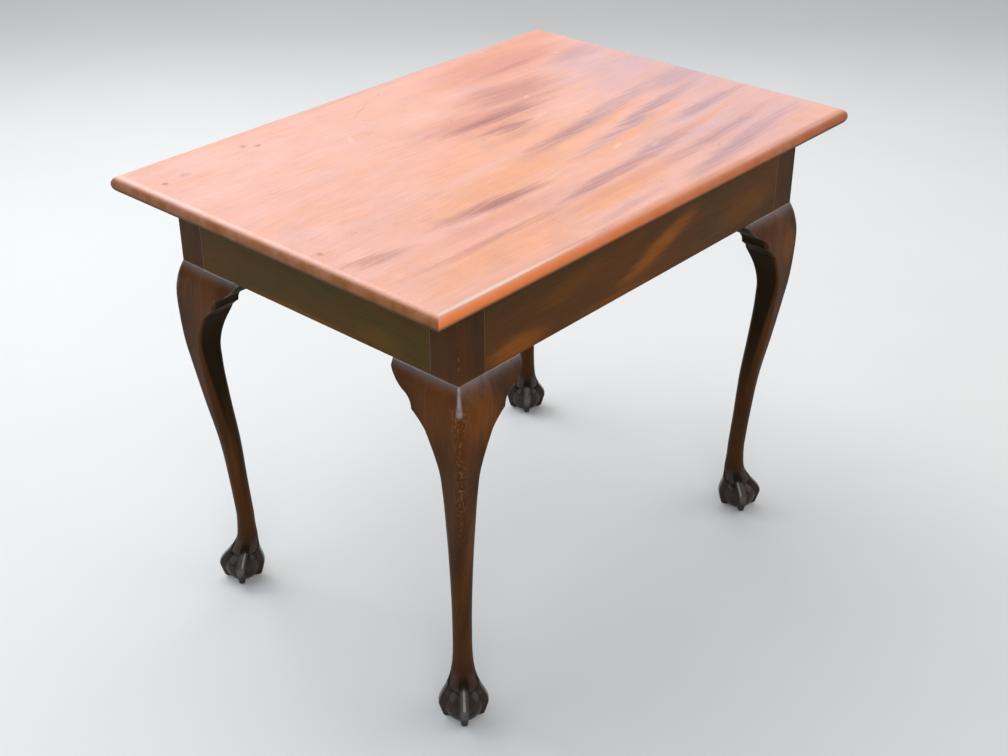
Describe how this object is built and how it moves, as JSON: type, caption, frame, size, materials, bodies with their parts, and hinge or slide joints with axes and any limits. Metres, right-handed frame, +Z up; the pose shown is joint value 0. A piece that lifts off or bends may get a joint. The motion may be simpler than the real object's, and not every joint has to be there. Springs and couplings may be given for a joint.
{
  "type": "tea table",
  "caption": "Rectangular wooden tea table: flat top with a half-round edge, plain aprons, and posts that run down into cabriole legs with knee blocks and ball-and-claw feet.",
  "frame": {"origin": "on the floor under the middle of the top", "axes": "+X along the long side of the top, +Y along the short side towards the back, +Z up"},
  "size_m": [0.838, 0.578, 0.66],
  "materials": {
    "top_wood": "worn satin varnish",
    "frame_wood": "dark satin varnish, worn at the edges",
    "inner_wood": "bare",
    "screw_steel": "dull"
  },
  "bodies": {
    "root": {"top_board_1": "top_wood", "top_board_2": "top_wood", "top_board_3": "top_wood", "leg_front_left": "frame_wood", "knee_block_long_front_left": "frame_wood", "knee_block_short_front_left": "frame_wood", "corner_block_front_left": "inner_wood", "button_long_front_left": "inner_wood", "button_short_front_left": "inner_wood", "leg_front_right": "frame_wood", "knee_block_long_front_right": "frame_wood", "knee_block_short_front_right": "frame_wood", "corner_block_front_right": "inner_wood", "button_long_front_right": "inner_wood", "button_short_front_right": "inner_wood", "leg_back_left": "frame_wood", "knee_block_long_back_left": "frame_wood", "knee_block_short_back_left": "frame_wood", "corner_block_back_left": "inner_wood", "button_long_back_left": "inner_wood", "button_short_back_left": "inner_wood", "leg_back_right": "frame_wood", "knee_block_long_back_right": "frame_wood", "knee_block_short_back_right": "frame_wood", "corner_block_back_right": "inner_wood", "button_long_back_right": "inner_wood", "button_short_back_right": "inner_wood", "apron_front": "frame_wood", "apron_back": "frame_wood", "apron_left": "frame_wood", "apron_right": "frame_wood", "corner_block_screws": "screw_steel", "button_screws": "screw_steel"}
  },
  "joints": []
}
